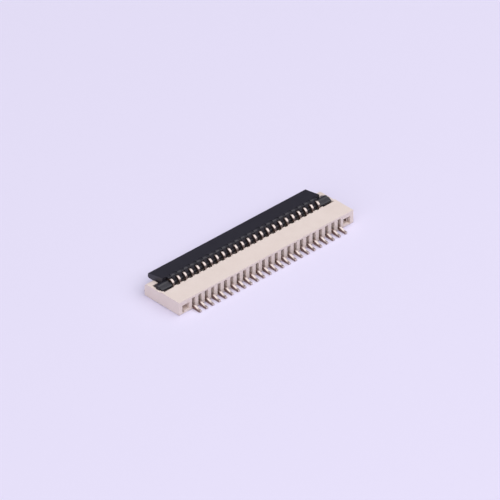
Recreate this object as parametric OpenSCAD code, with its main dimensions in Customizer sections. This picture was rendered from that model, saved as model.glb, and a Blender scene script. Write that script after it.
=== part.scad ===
// Flip-lock connector for a flat flexible cable: moulded housing, stamped fork
// contacts, two hold-downs and a hinged flap. The contact row runs along X, the
// cable enters from -Y, the solder tails leave at +Y and the board is at Z = 0.
// All sizes are in millimetres.

/* [Contact row] */
// Number of contacts
positions = 24; // [6:1:40]
// Distance between contact centres
pitch = 1; // [0.95:0.05:1.25]
// Thickness of the contact strip
strip_t = 0.3; // [0.2:0.01:0.34]

/* [Contact] */
// Reach of a solder tail behind the housing
tail_reach = 1.2; // [0.9:0.05:1.8]
// Height of a solder tail at its root
tail_root_h = 0.55; // [0.4:0.01:0.6]
// Height of a solder tail at its tip
tail_tip_h = 0.27; // [0.18:0.01:0.32]
// Distance from the rear face to the spine of a contact
spine_f = 1; // [0.7:0.05:1.1]
// Height of the upper arm inside the housing
arm_h = 0.28; // [0.2:0.01:0.4]
// Width of the hook band over the pivot
hook_w = 0.31; // [0.2:0.01:0.36]
// Rise of the contact point above the jaw
bump_rise = 0.14; // [0.06:0.01:0.2]

/* [Housing] */
// Depth of the solid rear block
block_depth = 3.05; // [2.8:0.05:4]
// Distance from the last contact to the end face
end_w = 2.25; // [2.2:0.05:3]
// Height of the lower jaw
jaw_h = 0.78; // [0.72:0.01:1]
// Clear height of the cable slot
slot_h = 0.42; // [0.38:0.01:0.6]
// Wall above the upper arms
top_wall = 0.23; // [0.18:0.01:0.5]
// Distance from the pivot to the front of the jaw
jaw_reach = 2.1; // [1.7:0.05:2.3]
// Width of the mouth beyond the cable, on each side
mouth_side = 0.05; // [0.03:0.01:0.1]

/* [Flap] */
// Distance from the pivot to the front edge
flap_len = 2.8; // [2.2:0.02:3.2]
// Thickness of the front edge
flap_edge_t = 0.58; // [0.4:0.02:0.7]
// Height of the tooth crowns above the pivot
crown_h = 0.93; // [0.88:0.01:1]
// Radius of the pivot shaft
pivot_r = 0.3; // [0.24:0.01:0.34]
// Reach of the end tabs in front of the pivot
tab_reach = 0.9; // [0.8:0.01:1.1]
// Width of the side wall left outside an end tab
tab_wall = 0.4; // [0.35:0.01:0.6]

/* [Hold-down] */
// Reach of the front foot past the side wall
foot_reach = 0.6; // [0.3:0.05:0.9]
// Height of the hold-down plate
hold_h = 0.66; // [0.5:0.01:0.68]

/* [Hidden] */

fit = 0.02;                     // gap between a stamped part and its slot
run = 0.05;                     // running gap round the pivot
under = 0.06;                   // gap between the housing and the board
swing = 0.08;                   // side gap of what swings past a wall

row = (positions - 1) * pitch;  // first to last contact
half_len = row / 2 + end_w;     // housing end face
cable_half = row / 2 + pitch;   // half the width of the cable
mouth_half = cable_half + mouth_side;
plate_half = cable_half - 0.1;  // half the width of the flap plate
wall_w = half_len - mouth_half; // side wall
tab_half = half_len - tab_wall; // outer end of the flap's end tab
pin_half = tab_half + 0.13;     // outer end of the flap's pin

ceiling_z = jaw_h + slot_h;     // roof of the cable slot
axis_z = ceiling_z + pivot_r + fit;
arm_z = ceiling_z + fit;        // underside of the upper arm
body_h = arm_z + arm_h + fit + top_wall;
hook_r = pivot_r + run + hook_w;
crown_r = crown_h + 0.06;       // furthest a crown reaches from the pivot
axis_f = block_depth + 0.8;     // pivot, measured forward from the rear face
pocket_r = hook_r + 0.06;       // hollow in the flap round a hook
roof_f = 0.06;                  // pivot to the rear edge of the flap's roof over the hooks
roof_h = crown_h - 0.09;        // height of that roof above the pivot
room_f = axis_f - crown_r - run; // rear wall of the room the flap swings in
jaw_f = axis_f + jaw_reach;     // front of the jaw
wall_f = jaw_f - 0.2;           // front of the side walls
bump_f = axis_f + 0.1;          // contact point
beam_f = bump_f + 0.38;         // front end of the sprung beam
stop_f = spine_f + 0.6;         // where the cable end stops
floor_z = under + 0.1;          // floor under the contacts
arm_slot_w = strip_t + 0.2;     // slot in the flap for one upper arm
tooth_w = pitch - arm_slot_w;   // flap tooth between two slots
tooth_half = row / 2 + arm_slot_w / 2; // outer side of the end pockets
arm_side = pitch / 2 - tooth_w / 2 - swing; // contact centre to the notch beside it
flap_f = axis_f + flap_len;     // front edge of the flap
// the part's box is centred on Y = 0
rear_y = (flap_f - tail_reach) / 2;
axis_y = rear_y - axis_f;

pocket_in = row / 2 + 0.65;     // rear pocket for a hold-down
pocket_w = 1.12;
hold_x = pocket_in + pocket_w - fit - strip_t / 2;

function pad(i) = i < 10 ? str("0", i) : str(i);
function contact_name(i) = str("contact_", pad(i));
function contact_x(i) = (i - 1) * pitch - row / 2;
// points of an arc round the pivot, as distances forward and up
function pivot_arc(r, from, to, steps) =
    [for (k = [0:steps]) let (a = from + (to - from) * k / steps)
        [axis_f + r * cos(a), axis_z + r * sin(a)]];

// a side profile, given as distances forward of the rear face and up
module profile(points) polygon([for (p = points) [rear_y - p[0], p[1]]]);

// its child profile, w wide and centred on x
module slab(x, w)
    translate([x - w / 2, 0, 0]) rotate([90, 0, 90]) linear_extrude(w) children();

// a box from forward distance f0 to f1 and height z0 to z1
module block(x, w, f0, f1, z0, z1)
    translate([x - w / 2, rear_y - f1, z0]) cube([w, f1 - f0, z1 - z0]);

module on_both_ends() for (side = [-1, 1]) scale_x(side) children();
module scale_x(side) mirror([side < 0 ? 1 : 0, 0, 0]) children();

// ---- contact ----
// One fork, blanked from strip: tail, spine, sprung lower beam with its contact
// point, and upper arm whose hook holds the flap's pivot down.
module contact(i) {
    beam_z = floor_z + 0.16;
    bump_z = jaw_h + bump_rise;
    color("tan")
    slab(contact_x(i), strip_t) profile(concat(
        [[-tail_reach, 0], [-fit, 0], [-fit, floor_z + fit],
         [1.9, floor_z + fit], [2, beam_z - 0.04], [1.7, beam_z],
         // lower beam, out to the contact point and back
         [bump_f - 0.3, jaw_h - 0.24], [bump_f + 0.28, jaw_h - 0.12],
         [beam_f, jaw_h - 0.02], [bump_f + 0.12, bump_z],
         [bump_f - 0.08, bump_z], [bump_f - 0.45, jaw_h - 0.02],
         [spine_f + 0.9, beam_z + 0.34], [spine_f + 0.6, beam_z + 0.46],
         [spine_f + 0.6, arm_z - 0.06], [spine_f + 0.7, arm_z],
         // upper arm and hook
         [axis_f - 0.5, arm_z]],
        pivot_arc(pivot_r + run, 185, 20, 11),
        pivot_arc(hook_r, 14, 149, 9),
        [[block_depth + 0.1, arm_z + arm_h],
         [spine_f + 0.08, arm_z + arm_h], [spine_f, arm_z + arm_h - 0.08],
         [spine_f, tail_root_h + 0.05], [spine_f - 0.05, tail_root_h],
         [-0.12, tail_root_h], [-tail_reach + 0.42, tail_tip_h + 0.03],
         [-tail_reach, tail_tip_h]]));
}

// ---- hold-down ----
// Flat nail pushed in from the rear pocket, with a solder foot at the front.
module hold_down(side)
    color("silver")
    slab(side * hold_x, strip_t) profile([
        [0.35, floor_z + fit], [wall_f + fit, floor_z + fit], [wall_f + fit, 0],
        [wall_f + foot_reach, 0], [wall_f + foot_reach, tail_tip_h],
        [wall_f + 0.15, tail_root_h], [wall_f - 0.2, hold_h],
        [wall_f - 0.9, hold_h], [1.2, hold_h], [1.1, hold_h + 0.1],
        [0.35, hold_h + 0.1]]);

// ---- housing ----
module housing() {
    color("antiquewhite")
    difference() {
        union() {
            // rear block, jaw and side walls
            block(0, 2 * half_len, 0, block_depth, under, body_h);
            block(0, 2 * half_len - 0.2, block_depth - 0.1, wall_f, under, jaw_h);
            slab(0, 2 * mouth_half + 0.2) profile([
                [wall_f - 0.1, under], [jaw_f, under], [jaw_f, jaw_h - 0.16],
                [jaw_f - 0.16, jaw_h], [wall_f - 0.1, jaw_h]]);
            on_both_ends() side_wall();
            on_both_ends() standoffs();
        }
        // cable slot inside the block
        block(0, 2 * mouth_half, stop_f, block_depth + 1, jaw_h, ceiling_z);
        for (i = [1:positions]) contact_slot(contact_x(i));
        for (i = [1:positions - 1]) front_notch(contact_x(i) + pitch / 2, tooth_w + 2 * swing);
        roof_room();
        on_both_ends() front_notch((row / 2 + arm_side + mouth_half) / 2, mouth_half - row / 2 - arm_side);
        on_both_ends() hold_down_pocket();
        on_both_ends() bearing();
    }
}

module side_wall()
    slab(mouth_half + wall_w / 2, wall_w) profile([
        [block_depth - 0.1, under], [wall_f, under], [wall_f, body_h - 0.35],
        [wall_f - 0.15, body_h - 0.2], [wall_f - 0.4, body_h - 0.13],
        [block_depth - 0.1, body_h - 0.13]]);

module standoffs()
    for (f = [0.5, wall_f - 1.3])
        block(mouth_half + wall_w / 2 + 0.25, wall_w - 0.6, f, f + 0.8, 0, under + 0.1);

// slot for one fork: narrow all through, wider where the tail leaves
module contact_slot(x) {
    w = strip_t + 2 * fit;
    block(x, w, -1, block_depth + 1, floor_z, body_h - top_wall);
    block(x, w, block_depth, beam_f + 0.15, floor_z, jaw_h + 1);
    block(x, w + 0.16, -1, spine_f - 0.1, floor_z, body_h - top_wall - 0.02);
}

// room for the flap to swing past the front edge of the block
module front_notch(x, w)
    block(x, w, room_f, block_depth + 1, ceiling_z - 0.1, body_h + 1);

// set-back of the block's front edge over the hooks, for the flap's roof
module roof_room()
    block(0, row + 2 * arm_side, axis_f - sqrt(roof_h * roof_h + roof_f * roof_f) - run,
          block_depth + 1, axis_z - run, body_h + 1);

module hold_down_pocket() {
    block(pocket_in + pocket_w / 2, pocket_w, -1, 0.85, floor_z + 0.2, hold_h + 0.5);
    block(hold_x, strip_t + 2 * fit, -1, wall_f + 1, floor_z, hold_h + fit);
    block(hold_x, strip_t + 2 * fit, -1, 1.25, floor_z, hold_h + 0.1 + fit);
}

// recess for the flap's end tab, and the cradle for its pin
module bearing() {
    recess_z = axis_z - 0.7;
    recess_w = tab_half + run - mouth_half + 0.1;
    cradle_w = pin_half + run - tab_half;
    block(mouth_half - 0.1 + recess_w / 2, recess_w, room_f, axis_f + tab_reach + 0.1,
          recess_z, body_h + 1);
    translate([tab_half, axis_y, axis_z]) {
        rotate([0, 90, 0]) cylinder(r = pivot_r + run / 2, h = cradle_w, $fn = 48);
        translate([0, -pivot_r - run / 2, 0])
            cube([cradle_w, 2 * pivot_r + run, body_h]);
    }
}

// ---- flap ----
module flap() {
    color("#23222b")
    union() {
        difference() {
            slab(0, 2 * plate_half) profile(flap_outline());
            for (i = [1:positions]) arm_pocket(contact_x(i));
            on_both_ends() block(tooth_half + 1, 2, axis_f - 2, axis_f + 0.4, 0, axis_z + 2);
        }
        translate([-pin_half, axis_y, axis_z]) rotate([0, 90, 0])
            cylinder(r = pivot_r, h = 2 * pin_half, $fn = 48);
        on_both_ends() end_block();
    }
}

// closed flap from the side: cam under the pivot, crown above it, sloping plate
function flap_outline() = [for (p = [
        [-0.12, -0.12], [-0.16, -pivot_r - 0.05], [0.12, -pivot_r - 0.09],
        [0.5, -0.28], [0.75, -0.16], [flap_len - 0.14, -0.12],
        [flap_len, -0.02], [flap_len, flap_edge_t - 0.16],
        [flap_len - 0.1, flap_edge_t - 0.06], [0.44, crown_h - 0.03],
        [0.34, crown_h], [0.24, crown_h], [0.15, crown_h - 0.03],
        [0.08, crown_h - 0.1], [0.03, crown_h - 0.2], [-0.1, crown_h - 0.48],
        [-0.16, 0.2]])
    [axis_f + p[0], axis_z + p[1]]];

// hollow round one hook: open to the rear and below, roofed above
module arm_pocket(x) {
    block(x, arm_slot_w, axis_f - 2, axis_f + roof_f, 0, axis_z + 2);
    block(x, arm_slot_w, axis_f - 2, axis_f + 0.46, axis_z + roof_h, axis_z + 2);
    translate([x - arm_slot_w / 2, axis_y, axis_z]) rotate([0, 90, 0])
        cylinder(r = pocket_r, h = arm_slot_w, $fn = 48);
}

// low step and tab that close the flap beyond the last hook, over the pin
module end_block()
    slab((tooth_half + tab_half) / 2, tab_half - tooth_half) profile(
        [for (p = [[-0.1, -0.1], [-0.12, -pivot_r - 0.05], [0.3, -0.3], [0.6, -0.2],
                   [tab_reach, -0.19], [tab_reach, 0.06], [tab_reach - 0.07, 0.14],
                   [0.38, 0.42], [0.26, 0.46], [0.14, 0.45], [0.03, 0.36], [-0.05, 0.33],
                   [-0.48, 0.26], [-0.58, 0.2], [-0.63, 0.12], [-0.64, 0.02]])
            [axis_f + p[0], axis_z + p[1]]]);

housing();
flap();
hold_down(-1);  // hold_down_left
hold_down(1);  // hold_down_right
for (i = [1:positions])
    contact(i);
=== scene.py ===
import math

import bmesh
import bpy
import numpy as np
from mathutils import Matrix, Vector


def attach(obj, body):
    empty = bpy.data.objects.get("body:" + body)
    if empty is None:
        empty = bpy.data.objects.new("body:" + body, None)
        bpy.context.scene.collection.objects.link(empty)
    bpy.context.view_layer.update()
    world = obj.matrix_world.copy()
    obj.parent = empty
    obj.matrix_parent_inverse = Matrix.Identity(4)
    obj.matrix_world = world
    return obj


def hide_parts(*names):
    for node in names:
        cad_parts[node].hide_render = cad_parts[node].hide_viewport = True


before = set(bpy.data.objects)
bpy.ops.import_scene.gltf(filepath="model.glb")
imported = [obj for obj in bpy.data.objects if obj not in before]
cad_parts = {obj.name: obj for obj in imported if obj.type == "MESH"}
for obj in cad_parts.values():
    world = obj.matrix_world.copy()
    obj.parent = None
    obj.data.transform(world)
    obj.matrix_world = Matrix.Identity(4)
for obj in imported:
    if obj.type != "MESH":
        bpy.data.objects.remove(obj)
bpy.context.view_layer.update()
mm = 0.001
print("stage: frame loaded,", len(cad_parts), "nodes")


# The view runs from above and behind the solder tails, along a long lens.
cameraShape = {
    "azimuth": 136.4,
    "elevation": 34.2,
    "distance": 1200 * mm,
    "fieldWidth": 57.2 * mm,  # width seen at the aiming distance
    "aimOnRow": (0, -0.675 * mm, 2.0 * mm),  # the middle of the row of hooks
    "aimRight": -0.419 * mm,  # where that point lies from the middle of the view
    "aimUp": 0.872 * mm,
    "sensorWidth": 36,
    "nearest": 10 * mm,  # nothing nearer or farther than these two is drawn
    "farthest": 10,
}


def placeCamera(shape):
    # back points from the object to the camera, right and up lie in the view plane
    turn, rise = math.radians(shape["azimuth"]), math.radians(shape["elevation"])
    back = Vector((math.sin(turn) * math.cos(rise), -math.cos(turn) * math.cos(rise),
                   math.sin(rise)))
    right = Vector((math.cos(turn), math.sin(turn), 0))
    up = back.cross(right)
    aim = Vector(shape["aimOnRow"]) - right * shape["aimRight"] - up * shape["aimUp"]
    lens = bpy.data.cameras.new("view_lens")
    lens.sensor_width = shape["sensorWidth"]
    lens.lens = shape["sensorWidth"] * shape["distance"] / shape["fieldWidth"]
    lens.clip_start = shape["nearest"]
    lens.clip_end = shape["farthest"]
    camera = bpy.data.objects.new("view_camera", lens)
    bpy.context.collection.objects.link(camera)
    camera.location = aim + back * shape["distance"]
    camera.rotation_euler = back.to_track_quat("Z", "Y").to_euler()
    bpy.context.scene.camera = camera


placeCamera(cameraShape)


class Wire:
    # one output socket; arithmetic on it adds the Math nodes

    def __init__(self, finish, socket):
        self.finish, self.socket = finish, socket

    def combine(self, operation, other):
        return self.finish.add("ShaderNodeMath", {"operation": operation}, [self, other])

    def __add__(self, other):
        return self.combine("ADD", other)

    def __mul__(self, other):
        return self.combine("MULTIPLY", other)

    # a sum or product is the same either way round
    __radd__ = __add__
    __rmul__ = __mul__


class Finish:
    # one material and the nodes that are added to it

    def __init__(self, name):
        self.material = bpy.data.materials.new(name)
        self.material.use_nodes = True
        self.tree = self.material.node_tree
        self.surface = self.tree.nodes["Principled BSDF"]

    def add(self, kind, settings=None, values=(), out=0):
        # values are numbers, tuples or wires, in the order of the node's sockets or by name
        node = self.tree.nodes.new(kind)
        for name, value in (settings or {}).items():
            if name == "stops":
                for stop, (place, colour) in zip(node.color_ramp.elements, value):
                    stop.position, stop.color = place, opaque(colour)
            else:
                setattr(node, name, value)
        pairs = values.items() if isinstance(values, dict) else enumerate(values)
        for key, value in pairs:
            self.feed(node.inputs[key], value)
        return Wire(self, node.outputs[out])

    def feed(self, socket, value):
        if isinstance(value, Wire):
            self.tree.links.new(value.socket, socket)
        else:
            socket.default_value = value

    def noise(self, size, detail, rough, stretch=(1, 1, 1)):
        # soft random value from 0 to 1 with features of the given size in metres, read at a
        # point of the piece in its own frame with each axis stretched
        point = self.add("ShaderNodeTexCoord", out="Object")
        place = self.add("ShaderNodeMapping", {"vector_type": "POINT"},
                         {"Vector": point, "Scale": stretch})
        return self.add("ShaderNodeTexNoise", None,
                        {"Vector": place, "Scale": 1 / size, "Detail": detail, "Roughness": rough})

    def band(self, value, start, end):
        # 0 below the start, 1 above the end and a straight rise between them
        return self.add("ShaderNodeValToRGB", {"stops": [(start, (0, 0, 0)), (end, (1, 1, 1))]},
                        [value])

    def blend(self, share, first, second):
        # mixes two colours by a share from 0 to 1, through the node's colour sockets
        firstColour, secondColour, mixedColour = 6, 7, 2
        return self.add("ShaderNodeMix", {"data_type": "RGBA"},
                        {"Factor": share, firstColour: first, secondColour: second},
                        out=mixedColour)

    def span(self, value, low, high):
        # a value from 0 to 1 spread between two limits
        return value * (high - low) + low

    def bump(self, height, depth, strength):
        return self.add("ShaderNodeBump", None,
                        {"Strength": strength, "Distance": depth, "Height": height}, out="Normal")

    def finishWith(self, **sockets):
        for name, value in sockets.items():
            self.feed(self.surface.inputs[name.replace("_", " ")], value)
        return self.material


def opaque(colour, share=1):
    # the colour at a share of its brightness, with full cover
    return (*(share * level for level in colour), 1)


# glass-filled ivory moulding: cloudy tint, fine fibre flecks, satin skin with flow lines
ivoryLook = {
    "light": (0.86, 0.755, 0.695), "deep": (0.77, 0.66, 0.60), "fleck": (0.92, 0.85, 0.79),
    "clouds": {"size": 1.6 * mm, "detail": 4, "rough": 0.6},
    "flecks": {"size": 0.06 * mm, "detail": 2, "rough": 0.6, "stretch": (1, 0.35, 1)},
    "flow": {"size": 0.35 * mm, "detail": 3, "rough": 0.55, "stretch": (1, 0.18, 1)},
    "fleckBand": (0.60, 0.74), "fleckShare": 0.5, "fleckRelief": 0.5,
    "roughness": (0.38, 0.62), "ior": 1.55, "skinDepth": 0.005 * mm, "skinStrength": 0.7,
}


def plasticIvory(look):
    ivory = Finish("plastic_ivory")
    clouds = ivory.noise(**look["clouds"])
    flecks = ivory.noise(**look["flecks"])
    flow = ivory.noise(**look["flow"])
    tint = ivory.blend(clouds, opaque(look["light"]), opaque(look["deep"]))
    sparkle = ivory.band(flecks, *look["fleckBand"]) * look["fleckShare"]
    relief = flecks * look["fleckRelief"] + flow
    return ivory.finishWith(
        Base_Color=ivory.blend(sparkle, tint, opaque(look["fleck"])),
        Roughness=ivory.span(flow, *look["roughness"]), IOR=look["ior"],
        Normal=ivory.bump(relief, look["skinDepth"], look["skinStrength"]))


# black moulding with a cool cast: satin skin, pale fibre flecks, soft rubbed patches
blackLook = {
    "dark": (0.010, 0.009, 0.015), "rubbed": (0.022, 0.021, 0.031), "fleck": (0.11, 0.11, 0.13),
    "clouds": {"size": 0.6 * mm, "detail": 5, "rough": 0.65},
    "flecks": {"size": 0.06 * mm, "detail": 2, "rough": 0.65, "stretch": (0.4, 1, 1)},
    "fleckBand": (0.66, 0.80), "fleckShare": 0.3,
    "roughness": (0.36, 0.54), "ior": 1.56, "skinDepth": 0.006 * mm, "skinStrength": 0.7,
}


def plasticBlack(look):
    black = Finish("plastic_black")
    clouds = black.noise(**look["clouds"])
    flecks = black.noise(**look["flecks"])
    tint = black.blend(clouds, opaque(look["dark"]), opaque(look["rubbed"]))
    sparkle = black.band(flecks, *look["fleckBand"]) * look["fleckShare"]
    return black.finishWith(
        Base_Color=black.blend(sparkle, tint, opaque(look["fleck"])),
        Roughness=black.span(clouds, *look["roughness"]), IOR=look["ior"],
        Normal=black.bump(flecks + clouds, look["skinDepth"], look["skinStrength"]))


# bright tin on the outline faces; painted shade on the flat upright sides: dark streaked bronze
tinLook = {
    "mottle": {"size": 0.22 * mm, "detail": 3, "rough": 0.6}, "mottleShade": 0.82,
    "drag": {"size": 0.03 * mm, "detail": 2, "rough": 0.5, "stretch": (1, 1, 0.2)},
    "dragShade": 0.6,
    "roughness": (0.22, 0.38), "sideRougher": 0.2, "mottleRelief": 0.5,
    "skinDepth": 0.0016 * mm, "skinStrength": 0.8,
}


def stampedTin(name, plate, sideShadeColour, look):
    tin = Finish(name)
    mottle = tin.noise(**look["mottle"])
    drag = tin.noise(**look["drag"])
    shadeSideMask = tin.add("ShaderNodeAttribute", {"attribute_name": "shadeSideMask"}, out="Fac")
    plated = tin.blend(mottle, opaque(plate), opaque(plate, look["mottleShade"]))
    # painted shade: the flat upright sides take a dark streaked bronze instead of tin
    sideShadeStreaked = tin.blend(drag, opaque(sideShadeColour), opaque(sideShadeColour, look["dragShade"]))
    relief = mottle * look["mottleRelief"] + drag * shadeSideMask
    return tin.finishWith(
        Base_Color=tin.blend(shadeSideMask, plated, sideShadeStreaked), Metallic=1.0,
        Roughness=tin.span(mottle, *look["roughness"]) + shadeSideMask * look["sideRougher"],
        Normal=tin.bump(relief, look["skinDepth"], look["skinStrength"]))


ivoryPlastic = plasticIvory(ivoryLook)
blackPlastic = plasticBlack(blackLook)
# each second colour is the dark bronze painted on the flat sides as painted shade
contactTin = stampedTin("tin_contact", (0.67, 0.58, 0.545), (0.37, 0.25, 0.215), tinLook)
holdDownTin = stampedTin("tin_hold_down", (0.78, 0.73, 0.69), (0.42, 0.29, 0.24), tinLook)
print("stage: finishes made")


def pieceFrom(name, mesh, material, body, node):
    # a smooth-shaded piece at the origin that stands for one node
    mesh.polygons.foreach_set("use_smooth", np.ones(len(mesh.polygons), bool))
    mesh.materials.append(material)
    mesh.update()
    flatsLead(mesh)
    piece = bpy.data.objects.new(name, mesh)
    bpy.context.collection.objects.link(piece)
    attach(piece, body)
    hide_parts(node)


def flatsLead(mesh, waySteps=100, sameLevel=0.004 * mm):
    # a corner's shading direction is the sum of its faces' directions, each times the area of
    # the whole flat that the face belongs to, so flats stay flat and narrow roundings soft;
    # faces are one flat where their directions and levels round to the same steps
    faces = len(mesh.polygons)
    normal, centre = np.zeros(faces * 3), np.zeros(faces * 3)
    area, corners = np.zeros(faces), np.zeros(faces, int)
    mesh.polygons.foreach_get("normal", normal)
    mesh.polygons.foreach_get("center", centre)
    mesh.polygons.foreach_get("area", area)
    mesh.polygons.foreach_get("loop_total", corners)
    normal, centre = normal.reshape(-1, 3), centre.reshape(-1, 3)
    level = (normal * centre).sum(1, keepdims=True)
    steps = np.round(np.hstack([normal * waySteps, level / sameLevel]))
    flats = np.unique(steps, axis=0, return_inverse=True)[1].ravel()
    weight = np.bincount(flats, area)[flats]
    vertex = np.zeros(corners.sum(), int)
    mesh.loops.foreach_get("vertex_index", vertex)
    total = np.zeros((len(mesh.vertices), 3))
    np.add.at(total, vertex, np.repeat(weight[:, None] * normal, corners, axis=0))
    total /= np.linalg.norm(total, axis=1, keepdims=True)
    mesh.normals_split_custom_set_from_vertices(total.tolist())


def softened(node, edge, rounds, corner, mergeWithin=0.0005):
    # copy of a node's mesh, merged, with every edge sharper than the corner angle rounded
    # over by the edge width; worked out in millimetres to keep precision
    shape = bmesh.new()
    shape.from_mesh(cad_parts[node].data)
    bmesh.ops.scale(shape, vec=(1000, 1000, 1000), verts=shape.verts)
    bmesh.ops.remove_doubles(shape, verts=shape.verts, dist=mergeWithin)
    sharp = [line for line in shape.edges
             if line.is_manifold and line.calc_face_angle(0) > math.radians(corner)]
    bmesh.ops.bevel(shape, geom=sharp, offset=edge, offset_type="OFFSET", segments=rounds,
                    profile=0.5, affect="EDGES", clamp_overlap=True, miter_outer="ARC")
    bmesh.ops.scale(shape, vec=(mm, mm, mm), verts=shape.verts)
    mesh = bpy.data.meshes.new(node + "_soft")
    shape.to_mesh(mesh)
    shape.free()
    return mesh


def roundedLoop(corners, steps=4, mostOfEdge=0.48, closest=1e-4):
    # each corner P becomes the parabola (1-t)^2 S + 2t(1-t) P + t^2 E, where S and E lie
    # on its two edges, as far from P as its third number says and at most the given share
    # of the edge; points closer together than the last value are dropped
    points, reach = corners[:, :2], corners[:, 2:]
    before, after = np.roll(points, 1, 0) - points, np.roll(points, -1, 0) - points
    lengthBefore = np.linalg.norm(before, axis=1, keepdims=True)
    lengthAfter = np.linalg.norm(after, axis=1, keepdims=True)
    start = points + before / lengthBefore * np.minimum(reach, mostOfEdge * lengthBefore)
    end = points + after / lengthAfter * np.minimum(reach, mostOfEdge * lengthAfter)
    t = np.linspace(0, 1, steps + 1)[None, :, None]
    corner = points[:, None]
    loop = (1 - t) ** 2 * start[:, None] + 2 * t * (1 - t) * corner + t ** 2 * end[:, None]
    loop = loop.reshape(-1, 2)
    return loop[np.linalg.norm(loop - np.roll(loop, 1, 0), axis=1) > closest]


def stampedPlate(name, loop, middle, width, rim, steps=3, sharpest=0.5):
    # an upright plate: the loop (forward, up) is carried along X, and at each angle a of a
    # quarter turn it stands rim (1 - cos a) in from the side face and is drawn in by
    # rim (1 - sin a) along the bisectors of its corners; its flat sides are marked for painted
    # shade; corners close together are rounded wider than the rim, or the drawn-in loop crosses
    # itself
    edge = np.roll(loop, -1, 0) - loop
    edge /= np.linalg.norm(edge, axis=1, keepdims=True)
    inward = np.column_stack([-edge[:, 1], edge[:, 0]])
    last = np.roll(inward, 1, 0)
    spread = np.maximum(1 + (inward * last).sum(1, keepdims=True), sharpest)
    bisector = (inward + last) / spread
    turn = np.linspace(0, math.pi / 2, steps + 1)
    drawn = rim * (1 - np.sin(turn))
    across = rim * (1 - np.cos(turn)) - width / 2
    drawn, across = np.append(drawn, drawn[::-1]), np.append(across, -across[::-1])
    ring = loop[None] + drawn[:, None, None] * bisector[None]
    along = np.broadcast_to(middle + across[:, None], ring.shape[:2])
    points = np.stack([along, part["rearY"] - ring[..., 0], ring[..., 1]], 2).reshape(-1, 3) * mm
    rings, count = ring.shape[:2]
    here = np.arange(rings * count).reshape(rings, count)
    after = np.roll(here, -1, 1)
    band = np.stack([here[:-1], here[1:], after[1:], after[:-1]], 2).reshape(-1, 4)
    caps = [here[0].tolist(), here[-1][::-1].tolist()]
    mesh = bpy.data.meshes.new(name)
    mesh.from_pydata(points.tolist(), [], band.tolist() + caps)
    # mask for the painted shade on the flat sides: 1 on them, fading to 0 over the rim
    shadeSideMask = 1 - np.sin(turn)
    marks = mesh.attributes.new("shadeSideMask", "FLOAT", "POINT")
    marks.data.foreach_set("value", np.repeat(np.append(shadeSideMask, shadeSideMask[::-1]), count))
    return mesh


def roundAxis(radius, first, last, steps):
    # points on a circle round the hinge axis, from one angle to the other in degrees
    angle = np.radians(np.linspace(first, last, steps))
    forward = part["axisF"] + radius * np.cos(angle)
    return np.column_stack([forward, part["axisZ"] + radius * np.sin(angle), np.zeros(steps)])


# places shared by the pieces, in millimetres: F runs forward from the rear face, Z up
part = {"rearY": 2.725, "axisF": 3.85, "axisZ": 1.52, "count": 24, "pitch": 1.0}

# the two mouldings: rounding of their edges in millimetres, and the angle that counts as sharp
moulding = {"edge": 0.03, "rounds": 2, "corner": 28}

# fork contact: corner points (forward, up, rounding) round the tail, beam, hook and spine
fork = {
    "thickness": 0.30, "rim": 0.04,
    "tailAndBeam": [
        (-1.20, 0, 0.065), (-0.02, 0, 0.065), (-0.02, 0.18, 0.05), (1.9, 0.18, 0.055),
        (1.9, 0.31, 0.055), (1.7, 0.32, 0.05), (3.65, 0.54, 0.3), (4.22, 0.65, 0.14),
        (4.34, 0.79, 0.12), (4.07, 0.92, 0.12), (3.87, 0.92, 0.1), (3.5, 0.76, 0.25),
        (1.9, 0.66, 0.15), (1.6, 0.78, 0.15), (1.6, 1.16, 0.05), (1.7, 1.22, 0.05),
        (3.35, 1.22, 0.08)],
    "hookInside": (0.35, 185, 20, 28),  # radius, first and last angle, points
    "hookOutside": (0.66, 14, 149, 30),
    "spineAndTail": [
        (3.15, 1.5, 0.1), (1.08, 1.5, 0.045), (1.0, 1.42, 0.045), (1.0, 0.6, 0.05),
        (0.95, 0.55, 0.05), (-0.12, 0.55, 0.14), (-0.78, 0.30, 0.2), (-1.20, 0.27, 0.07)],
}

# hold-down: flat nail with a solder foot in front of the side wall
nail = {
    "thickness": 0.30, "rim": 0.04, "middle": 13.1,
    "corners": [
        (0.35, 0.18, 0.065), (5.77, 0.18, 0.05), (5.77, 0, 0.065), (6.35, 0, 0.065),
        (6.35, 0.27, 0.08), (5.90, 0.55, 0.12), (5.55, 0.66, 0.15), (4.85, 0.66, 0.1),
        (1.2, 0.66, 0.05), (1.1, 0.76, 0.07), (0.35, 0.76, 0.07)],
}

pieceFrom("housing_moulding", softened("housing", **moulding), ivoryPlastic,
          "base", "housing")
pieceFrom("flap_moulding", softened("flap", **moulding), blackPlastic,
          "actuator", "flap")
print("stage: mouldings made")

nailLoop = roundedLoop(np.array(nail["corners"]))
for side, word in ((-1, "left"), (1, "right")):
    mesh = stampedPlate("nail_" + word, nailLoop, side * nail["middle"], nail["thickness"],
                        nail["rim"])
    pieceFrom("hold_down_" + word + "_nail", mesh, holdDownTin,
              "base", "hold_down_" + word)

forkLoop = roundedLoop(np.concatenate([
    np.array(fork["tailAndBeam"]), roundAxis(*fork["hookInside"]),
    roundAxis(*fork["hookOutside"]), np.array(fork["spineAndTail"])]))
for index in range(part["count"]):
    node = "contact_%02d" % (index + 1)
    middle = (index - (part["count"] - 1) / 2) * part["pitch"]
    mesh = stampedPlate("fork_%02d" % (index + 1), forkLoop, middle, fork["thickness"],
                        fork["rim"])
    pieceFrom(node + "_fork", mesh, contactTin, "base", node)
print("stage: stamped pieces made")


# a square floor at the level of the board, reaching half its side each way from the middle
floorLook = {"half": 2.0, "colour": (0.80, 0.765, 0.94), "roughness": 0.9, "gloss": 0.1}


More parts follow.
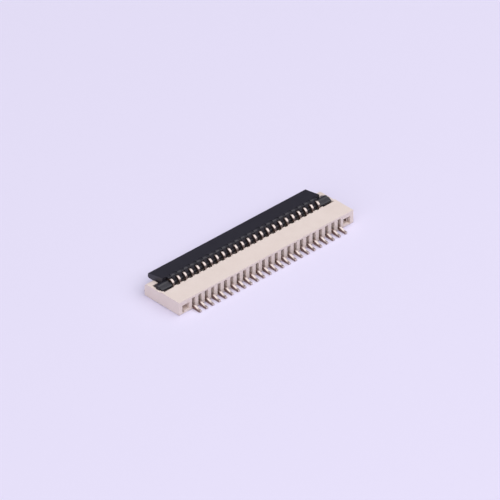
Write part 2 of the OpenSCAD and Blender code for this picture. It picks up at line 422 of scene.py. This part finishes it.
def paleFloor(look):
    return Finish("floor_pale").finishWith(
        Base_Color=opaque(look["colour"]), Roughness=look["roughness"],
        Specular_IOR_Level=look["gloss"])


def layFloor(look):
    corners = np.array([(-1, -1), (1, -1), (1, 1), (-1, 1)]) * look["half"]
    points = np.column_stack([corners, np.zeros(4)])
    mesh = bpy.data.meshes.new("floor")
    mesh.from_pydata(points.tolist(), [], [(0, 1, 2, 3)])
    mesh.materials.append(paleFloor(look))
    floor = bpy.data.objects.new("floor", mesh)
    bpy.context.collection.objects.link(floor)


# One wide panel overhead, further out past the tails and the right end than in front, so
# that the hooks and sloped tails mirror it and the flat black plate mirrors the dark room;
# a weaker one low on the near side lifts the upright faces.
panels = {
    "panel_overhead": {"place": (-0.50, 0.70, 1.00), "aim": (-0.50, 0.70, 0), "width": 2.6,
                       "height": 2.24, "power": 28.6, "colour": (1.0, 0.985, 0.985)},
    "panel_near": {"place": (1.08, 0.36, 0.50), "aim": (0, 0, 0), "width": 1.0,
                   "height": 0.7, "power": 4.6, "colour": (1.0, 0.97, 0.99)},
}
room = {"colour": (0.72, 0.71, 1.0), "strength": 0.12}


def hangPanel(name, panel):
    # one rectangular lamp that faces the aim point
    lamp = bpy.data.lights.new(name, "AREA")
    lamp.shape = "RECTANGLE"
    lamp.size, lamp.size_y = panel["width"], panel["height"]
    lamp.energy, lamp.color = panel["power"], panel["colour"]
    light = bpy.data.objects.new(name, lamp)
    bpy.context.collection.objects.link(light)
    light.location = panel["place"]
    back = Vector(panel["place"]) - Vector(panel["aim"])
    light.rotation_euler = back.to_track_quat("Z", "Y").to_euler()


def lightRoom(look):
    world = bpy.data.worlds.new("room")
    world.use_nodes = True
    glow = world.node_tree.nodes["Background"]
    glow.inputs["Color"].default_value = opaque(look["colour"])
    glow.inputs["Strength"].default_value = look["strength"]
    bpy.context.scene.world = world
    bpy.context.scene.view_settings.view_transform = "Standard"


layFloor(floorLook)
for name, panel in panels.items():
    hangPanel(name, panel)
lightRoom(room)
print("stage: floor and light placed")
